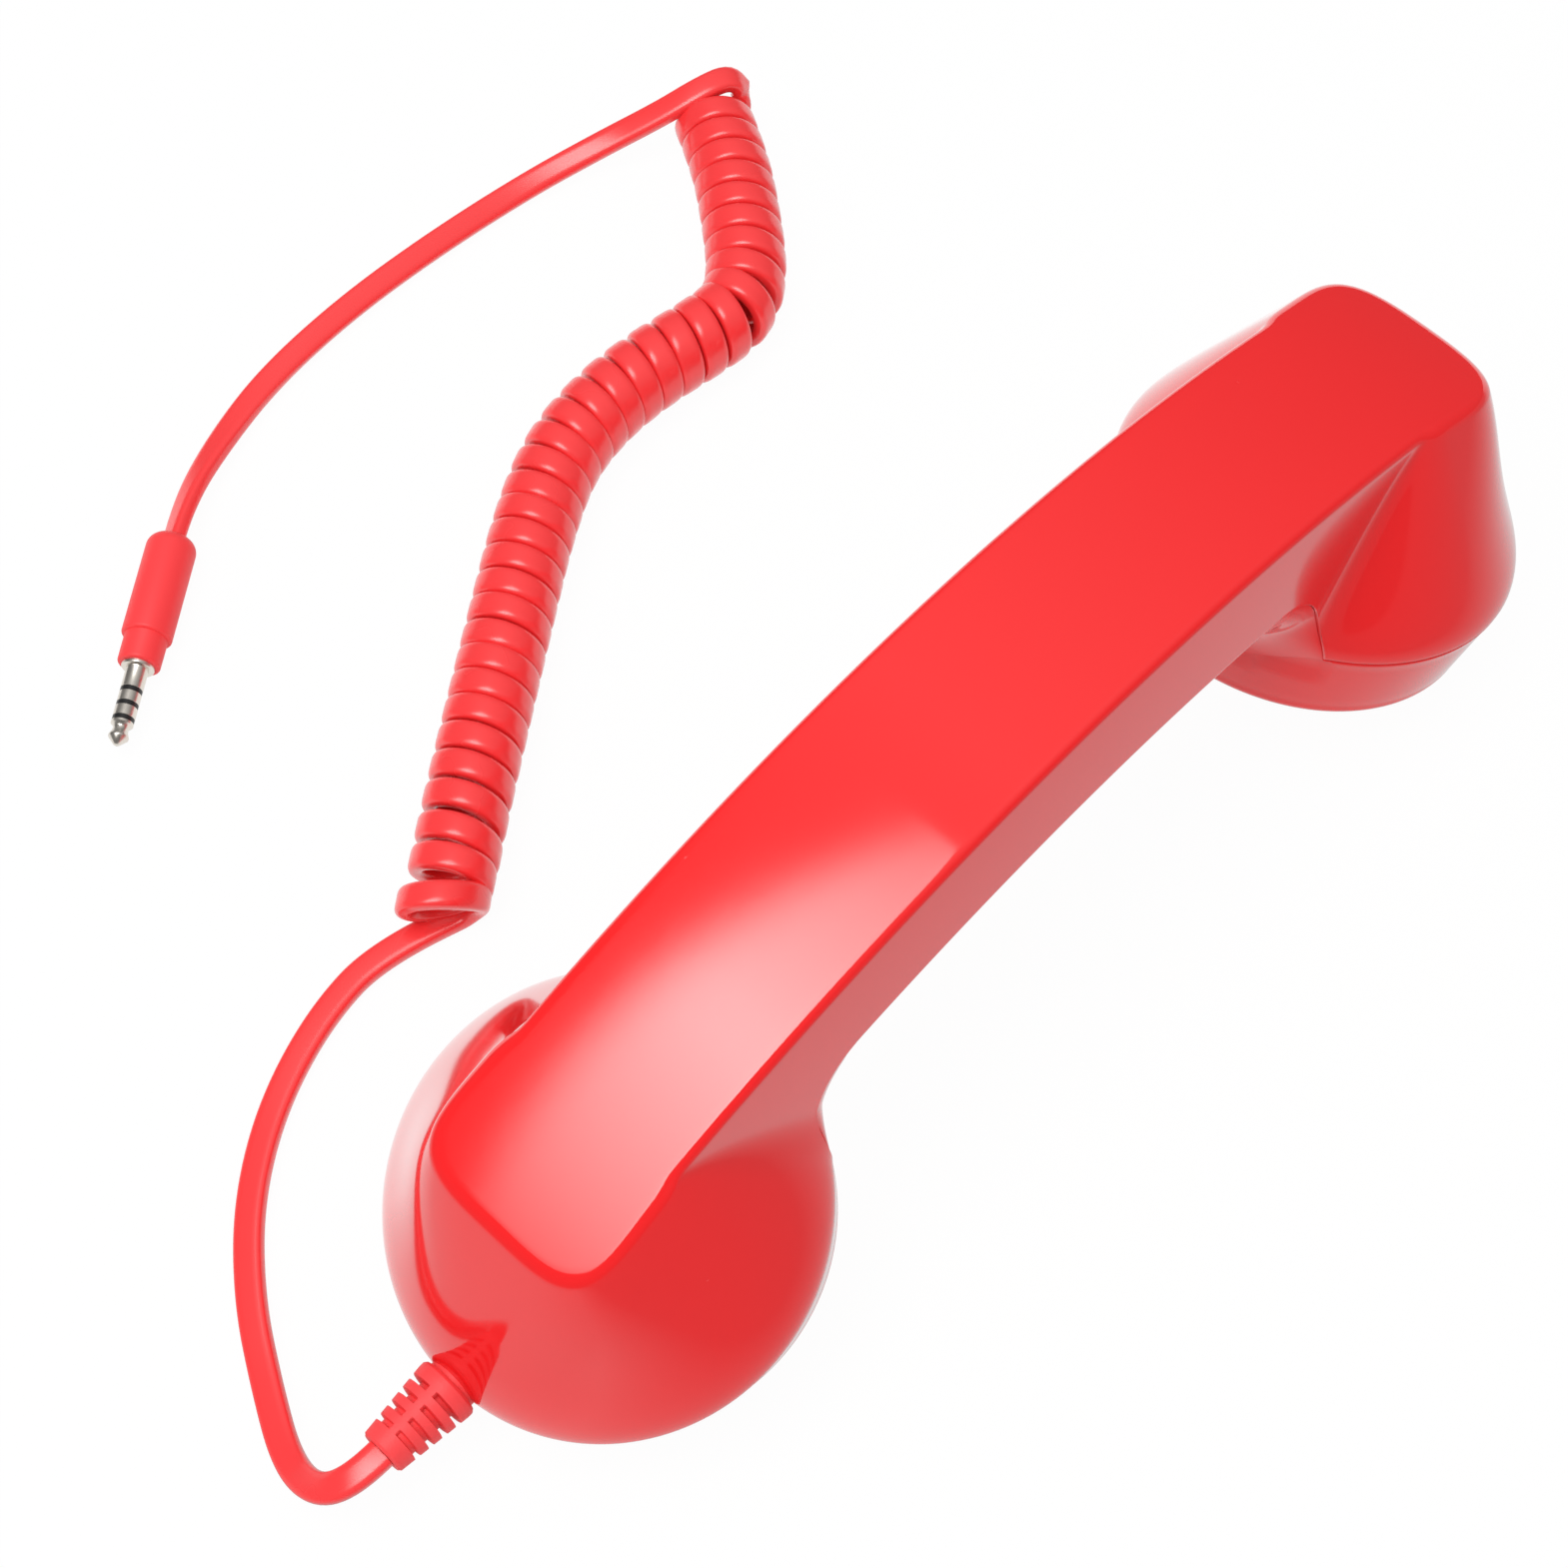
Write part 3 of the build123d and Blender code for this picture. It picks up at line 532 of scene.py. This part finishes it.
def cord_line():
    """The cord's whole line: first tail, coil, and the tail to the plug, with its flat side's direction.
    Directions ease over, and the line is averaged, where the coil joins the tails."""
    coil, coil_out = winding()
    first, last = smooth_line(tail_route, 0.8), smooth_line(plug_route, 0.8)[3:]
    coil_way = headings(coil)
    rise = bridge_over(first[-1], headings(first)[-1], coil[0], coil_way[0], 9)
    leave = bridge_over(coil[-1], coil_way[-1], last[0], headings(last)[0], 5)
    head, foot = np.concatenate([first, rise]), np.concatenate([leave, last])
    head_flat = laid(head, (0, 20, 60, 78, 92), (0, -14, -14, 0, 0))
    foot_flat = laid(foot, (0, 12, 40, 95, 120, 142), (0, -10, -25, -22, 20, 60))
    count = 14
    ease = step_up(np.linspace(0, 1, count), 0, 1)[:, None]
    head_flat[-count:] = unit((1 - ease) * -head_flat[-count:] + ease * coil_out[0])
    head_flat[:-count] *= -1
    foot_flat[:count] = unit((1 - ease) * coil_out[-1] + ease * foot_flat[:count])
    line = np.concatenate([head, coil, foot])
    mean = np.stack([averaged(column, 4, mode="edge") for column in line.T], 1)
    k = np.arange(len(line))
    join = sum(1 - step_up(np.abs(k - place), 5, 8) for place in (len(head), len(head) + len(coil)))
    line += (mean - line) * join[:, None]
    return line, np.concatenate([head_flat, coil_out, foot_flat])


def cord_piece(look):
    """A flat, soft-edged section carried along the cord's line. Its thickness follows the flat side's
    direction, and both ends are closed."""
    line, flat = cord_line()
    way = headings(line)
    flat = unit(flat - np.sum(flat * way, axis=1, keepdims=True) * way)
    side = np.cross(way, flat)
    a = np.linspace(0, 2 * math.pi, 32, endpoint=False) + math.pi / 32
    c, s = np.cos(a), np.sin(a)
    w = cord_width / 2 * np.sign(c) * np.abs(c) ** 0.42
    b = cord_thick / 2 * np.sign(s) * np.abs(s) ** 0.72
    b = b - 0.05 * np.sign(s) * np.exp(-((np.abs(w) - 1.72) / 0.12) ** 2)
    points = line[:, None] + w[None, :, None] * side[:, None] + b[None, :, None] * flat[:, None]
    faces = grid_faces(len(line), len(a), around_columns=True)
    last = (len(line) - 1) * len(a)
    faces += [list(range(len(a))), list(range(last, last + len(a)))]
    piece = make_piece("curly_cord", points, faces, look)
    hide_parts("cord_tail", "cord_coil", "cord_plug_tail")
    return piece, (line * 0.001).tolist(), float(distances(line)[-1]) * 0.001


# Materials

class Number:
    """A socket that carries a number. Expressions on it add Math nodes."""

    def __init__(self, look, socket):
        self.look, self.socket = look, socket

    def do(self, operation, *values):
        inputs = dict(enumerate((self, *values)))
        return Number(self.look, self.look.add("ShaderNodeMath", {"operation": operation}, inputs).outputs[0])

    def __add__(self, other):
        return self.do("ADD", other)

    def __mul__(self, other):
        return self.do("MULTIPLY", other)

    def __sub__(self, other):
        return self.do("SUBTRACT", other)

    def __rsub__(self, other):
        return (self * -1.0) + other

    __radd__, __rmul__ = __add__, __mul__

    def over(self, low, high):
        """0 below low and 1 above high, rising evenly between."""
        return ((self - low) * (1 / (high - low))).do("MAXIMUM", 0.0).do("MINIMUM", 1.0)


class Nodes:
    """A node tree of a material, a lamp or the world."""

    def __init__(self, tree):
        self.tree = tree

    def add(self, kind, settings=None, inputs=None):
        """A node of a type, with its settings first and then values or links of its sockets."""
        node = self.tree.nodes.new(kind)
        for key, value in (settings or {}).items():
            setattr(node, key, value)
        for key, value in (inputs or {}).items():
            self.feed(node.inputs[key], value)
        return node

    def feed(self, socket, value):
        if isinstance(value, Number):
            value = value.socket
        if isinstance(value, bpy.types.NodeSocket):
            self.tree.links.new(value, socket)
        else:
            socket.default_value = value


class Look(Nodes):
    """One finish: a material with a Principled surface, built up by expressions."""

    def __init__(self, name, colour, rough, metal=0.0, coat=0.0):
        self.material = bpy.data.materials.new(name)
        self.material.use_nodes = True
        super().__init__(self.material.node_tree)
        self.surface = self.tree.nodes["Principled BSDF"]
        self.surface.inputs["Base Color"].default_value = (*colour, 1)
        self.surface.inputs["Roughness"].default_value = rough
        self.surface.inputs["Metallic"].default_value = metal
        self.surface.inputs["Coat Weight"].default_value = coat
        self.surface.inputs["Coat Roughness"].default_value = rough
        self.material.diffuse_color = (*colour, 1)
        self.colour = colour
        self.place = self.add("ShaderNodeTexCoord").outputs["Object"]

    def noise(self, scale, detail=2.0, rough=0.5, where=None):
        inputs = {"Vector": where or self.place, "Scale": scale, "Detail": detail, "Roughness": rough}
        return Number(self, self.add("ShaderNodeTexNoise", None, inputs).outputs[0])

    def cells(self, scale):
        inputs = {"Vector": self.place, "Scale": scale}
        return Number(self, self.add("ShaderNodeTexVoronoi", None, inputs).outputs["Distance"])

    def stretched(self, x, y, z):
        """Object coordinates scaled along each axis."""
        inputs = {"Vector": self.place, "Scale": (x, y, z)}
        return self.add("ShaderNodeMapping", None, inputs).outputs[0]

    def tint(self, mask, colour):
        """The base colour, mixed towards another where the mask is high."""
        inputs = {"Factor": mask, 6: (*self.colour, 1), 7: (*colour, 1)}
        node = self.add("ShaderNodeMix", {"data_type": "RGBA"}, inputs)
        self.feed(self.surface.inputs["Base Color"], node.outputs[2])

    def roughen(self, value):
        self.feed(self.surface.inputs["Roughness"], value)

    def bump(self, height, distance, strength=1.0):
        inputs = {"Height": height, "Distance": distance, "Strength": strength}
        self.feed(self.surface.inputs["Normal"], self.add("ShaderNodeBump", None, inputs).outputs[0])


def gloss_plastic(name, colour, rough=0.07, coat=0.7):
    """Polished moulding: a trace of orange peel, faint haze and a few fine dust specks."""
    look = Look(name, colour, rough, coat=coat)
    haze = look.noise(38, 3)
    specks = look.cells(150).do("LESS_THAN", 0.035)
    look.roughen(rough + (haze - 0.5) * 0.05 + specks * 0.2)
    look.tint(haze.over(0.3, 0.8) * 0.12, tuple(0.86 * v for v in colour))
    look.bump(look.noise(160, 2) * 0.5 + look.noise(620, 2) * 0.12, 0.00003, 0.25)
    return look.material


def soft_jacket(name, colour, rough=0.42, coat=0.0):
    """Extruded soft jacket: satin, with a fine drawn grain and slightly uneven sheen."""
    look = Look(name, colour, rough, coat=coat)
    cloud = look.noise(70, 3)
    look.roughen(rough + (cloud - 0.5) * 0.12)
    look.tint(cloud.over(0.35, 0.75) * 0.2, tuple(0.88 * v for v in colour))
    look.bump(look.noise(900, 3) * 0.6 + look.noise(2600, 2) * 0.4, 0.00003, 0.06)
    return look.material


def moulded_rubbery(name, colour, rough=0.55):
    """Spark-textured soft moulding: fine even pebbles and a mottled sheen."""
    look = Look(name, colour, rough)
    pebbles = look.cells(2600)
    look.roughen(rough + (look.noise(240, 3) - 0.5) * 0.18)
    look.tint(look.noise(320, 3).over(0.35, 0.75) * 0.25, tuple(0.85 * v for v in colour))
    look.bump(pebbles + look.noise(1300, 3) * 0.6, 0.00005, 0.4)
    return look.material


def plain_metal(name, colour, rough, grain=(1, 1, 1), scale=900):
    """Metal with a drawn or turned grain, set by stretching the noise, and a few duller spots."""
    look = Look(name, colour, rough, 1.0)
    streaks = look.noise(scale, 3, 0.6, look.stretched(*grain))
    look.roughen(rough + (streaks - 0.5) * 0.2 + look.noise(180, 2).over(0.6, 0.8) * 0.08)
    look.tint(look.noise(150, 3).over(0.45, 0.8) * 0.25, tuple(0.8 * v for v in colour))
    look.bump(streaks, 0.00001, 0.2)
    return look.material


def grainy(name, colour, rough, scale, depth, dark=0.6, strength=0.6):
    """Foam, rubber, paper or sintered stone: one grain drives colour, roughness and relief."""
    look = Look(name, colour, rough)
    grain = look.noise(scale, 4, 0.65)
    pits = look.cells(scale * 0.7)
    look.roughen(rough + (grain - 0.5) * 0.2)
    look.tint(grain.over(0.4, 0.7), tuple(dark * v for v in colour))
    look.bump(grain + pits * 0.6, depth, strength)
    return look.material


def board_look(name):
    """Green lacquer over copper tracks, which show as raised paler bands."""
    look = Look(name, (0.02, 0.16, 0.06), 0.3)
    tracks = Number(look, look.add("ShaderNodeTexWave", {"bands_direction": "Y"},
                                   {"Vector": look.place, "Scale": 190.0, "Distortion": 2.5}).outputs[1])
    line = tracks.over(0.72, 0.78)
    look.tint(line, (0.05, 0.3, 0.12))
    look.roughen(0.3 + look.noise(300, 2) * 0.1)
    look.bump(line, 0.00004, 0.5)
    return look.material


red = (0.84, 0.012, 0.014)
looks = {
    "shell": gloss_plastic("gloss_red_shell", red),
    "cap": gloss_plastic("gloss_red_cap", red, 0.14),
    "button": gloss_plastic("gloss_red_button", (0.8, 0.018, 0.02), 0.2),
    "cord": soft_jacket("red_cord_jacket", (0.9, 0.035, 0.038), 0.26, 0.6),
    "relief": moulded_rubbery("red_relief_plastic", (0.9, 0.05, 0.055)),
    "plug": soft_jacket("red_plug_moulding", (0.9, 0.04, 0.045), 0.46),
    "nickel": plain_metal("plug_nickel", (0.78, 0.73, 0.66), 0.3),
    "insulator": grainy("black_insulator", (0.012, 0.012, 0.013), 0.35, 1500, 0.00001),
    "screw": plain_metal("screw_steel", (0.6, 0.6, 0.62), 0.3),
    "foam": grainy("gasket_foam", (0.03, 0.03, 0.032), 0.9, 1400, 0.0002, 0.4, 1.0),
    "basket": plain_metal("pressed_steel", (0.52, 0.52, 0.54), 0.36, (1, 1, 0.2)),
    "cone": grainy("cone_paper", (0.05, 0.048, 0.045), 0.85, 1800, 0.0001),
    "magnet": grainy("sintered_magnet", (0.12, 0.12, 0.125), 0.6, 2200, 0.00004, 0.7),
    "boot": grainy("boot_rubber", (0.03, 0.03, 0.031), 0.7, 1600, 0.00005, 0.8),
    "can": plain_metal("capsule_aluminium", (0.72, 0.72, 0.74), 0.32),
    "weight": plain_metal("weight_steel", (0.42, 0.42, 0.44), 0.45, (0.15, 1, 1)),
    "board": board_look("green_board"),
    "switch": grainy("switch_plastic", (0.03, 0.03, 0.03), 0.5, 1500, 0.00002, 0.85),
    "crimp": plain_metal("crimp_brass", (0.6, 0.42, 0.18), 0.3),
    "lead": soft_jacket("lead_jacket", (0.5, 0.03, 0.03), 0.4),
}

node_looks = {
    "shell_screws": "screw", "earpiece_cap": "cap", "mouthpiece_cap": "cap", "speaker_gasket": "foam",
    "speaker_frame": "basket", "speaker_cone": "cone", "speaker_magnet": "magnet", "microphone_boot": "boot",
    "microphone_capsule": "can", "weight_bar": "weight", "weight_screws": "screw", "circuit_board": "board",
    "board_screws": "screw", "button_switch": "switch", "answer_button": "button", "cord_crimp": "crimp",
    "inner_cord": "cord", "speaker_lead": "lead",
}
for node, name in node_looks.items():
    for material_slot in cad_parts[node].material_slots:
        material_slot.material = looks[name]

# Pieces
outer = outer_shell_skin(looks["shell"])
inner = inner_shell_skin(looks["shell"])
relief = relief_sleeve(looks["relief"])
body, sleeve, rings, insulators, tip = plug_profiles()
plug = [plug_piece("plug_moulding", body, looks["plug"], "plug_body"),
        plug_piece("plug_sleeve_contact", sleeve, looks["nickel"], "plug_sleeve"),
        plug_piece("plug_tip_contact", tip, looks["nickel"], "plug_tip")]
plug += [plug_piece("plug_ring_contact_%d" % (k + 1), ring, looks["nickel"], "plug_rings")
         for k, ring in enumerate(rings)]
plug += [plug_piece("plug_insulator_%d" % (k + 1), ring, looks["insulator"], "plug_insulators")
         for k, ring in enumerate(insulators)]
cord, cord_path, cord_length = cord_piece(looks["cord"])


# Floor, light and camera

def floor_look():
    """White table. Seen straight it is nearly plain white, and it keeps a faint shadow. In gloss it is
    white behind the object and gets darker towards the front."""
    look = Look("white_table", (0.86, 0.86, 0.86), 0.6)
    path = look.add("ShaderNodeLightPath")
    glossy = Number(look, path.outputs["Is Glossy Ray"])
    seen = Number(look, path.outputs["Is Camera Ray"]) + Number(look, path.outputs["Is Transmission Ray"])
    seen = (seen + glossy).do("MINIMUM", 1.0)
    where = look.add("ShaderNodeSeparateXYZ", None, {0: look.place})
    before, beside = Number(look, where.outputs[0]) * -1.0, Number(look, where.outputs[1]) * -1.0
    dim = before.over(0.1, 0.13) * 0.45 + before.over(0.16, 0.3) * 0.4
    dim = dim.do("MAXIMUM", beside.over(-0.02, 0.1) * 0.76)
    glow = look.add("ShaderNodeEmission", None, {"Color": (1, 1, 1, 1), "Strength": 1.0 - glossy * dim})
    inputs = {0: seen * 0.97, 1: look.surface.outputs[0], 2: glow.outputs[0]}
    mix = look.add("ShaderNodeMixShader", None, inputs)
    look.feed(look.tree.nodes["Material Output"].inputs["Surface"], mix.outputs[0])
    return look.material


floor_mesh = bpy.data.meshes.new("table")
floor_mesh.from_pydata([(-3, -3, 0), (3, -3, 0), (3, 3, 0), (-3, 3, 0)], [], [(0, 1, 2, 3)])
floor_mesh.materials.append(floor_look())
floor = bpy.data.objects.new("table", floor_mesh)
bpy.context.scene.collection.objects.link(floor)


def softbox(name, place, turn, size, power):
    """A lamp overhead that faces down. It is brightest at two thirds of its length, and its light ends
    sharply just before its far side."""
    lamp = bpy.data.lights.new(name, "AREA")
    lamp.shape, lamp.size, lamp.size_y, lamp.energy = "RECTANGLE", size[0], size[1], power
    lamp.use_nodes = True
    inside = Nodes(lamp.node_tree)
    spot = inside.add("ShaderNodeNewGeometry").outputs["Parametric"]
    u, v = (Number(inside, inside.add("ShaderNodeSeparateXYZ", None, {0: spot}).outputs[k]) for k in (0, 1))
    along = u.over(-0.06, 0.6) * (1.0 - u.over(0.65, 1.0) * 0.6)
    beside = 1.0 - v.over(0.92, 0.965)
    inside.feed(lamp.node_tree.nodes["Emission"].inputs["Strength"], along * beside)
    lamp_object = bpy.data.objects.new(name, lamp)
    lamp_object.location = place
    lamp_object.rotation_euler = (0, 0, math.radians(turn))
    bpy.context.scene.collection.objects.link(lamp_object)


softbox("key_softbox", (-0.482, 0.12, 1.06), -7.8, (1.21, 0.55), 14.2)

# The world is white seen straight, grey as light, and in gloss bright only overhead towards the earpiece
world = bpy.data.worlds.new("studio")
world.use_nodes = True
bpy.context.scene.world = world
sky = Nodes(world.node_tree)
rays = sky.add("ShaderNodeLightPath")
straight, glossy = (Number(sky, rays.outputs[name]) for name in ("Is Camera Ray", "Is Glossy Ray"))
way = sky.add("ShaderNodeSeparateXYZ", None, {0: sky.add("ShaderNodeTexCoord").outputs["Generated"]})
way_x, way_z = Number(sky, way.outputs[0]), Number(sky, way.outputs[2])
mirrored = way_z.do("MAXIMUM", 0.0) * way_z * way_x.over(-0.25, 0.3) * 0.55 + 0.15
sky.feed(world.node_tree.nodes["Background"].inputs["Color"], (1, 1, 1, 1))
sky.feed(world.node_tree.nodes["Background"].inputs["Strength"],
         straight + (1.0 - straight) * (glossy * mirrored + (1.0 - glossy) * 0.66))

bpy.context.scene.view_settings.view_transform = "Standard"

# Camera: heading, dip and roll in radians
heading, dip, roll = 0.781, 1.096, -0.025
ahead = Vector((math.cos(dip) * math.cos(heading), math.cos(dip) * math.sin(heading), -math.sin(dip)))
level = Vector((math.sin(heading), -math.cos(heading), 0))
rise = level.cross(ahead)
across = math.cos(roll) * level + math.sin(roll) * rise
upward = math.cos(roll) * rise - math.sin(roll) * level
lens = bpy.data.cameras.new("photo_camera")
lens.sensor_width, lens.lens, lens.clip_start, lens.clip_end = 36.0, 68.85, 0.01, 20.0
camera = bpy.data.objects.new("photo_camera", lens)
camera.matrix_world = Matrix.Translation((-0.153873, -0.113263, 0.407669)) @ Matrix(
    (across, upward, -ahead)).transposed().to_4x4()
bpy.context.scene.collection.objects.link(camera)
bpy.context.scene.camera = camera
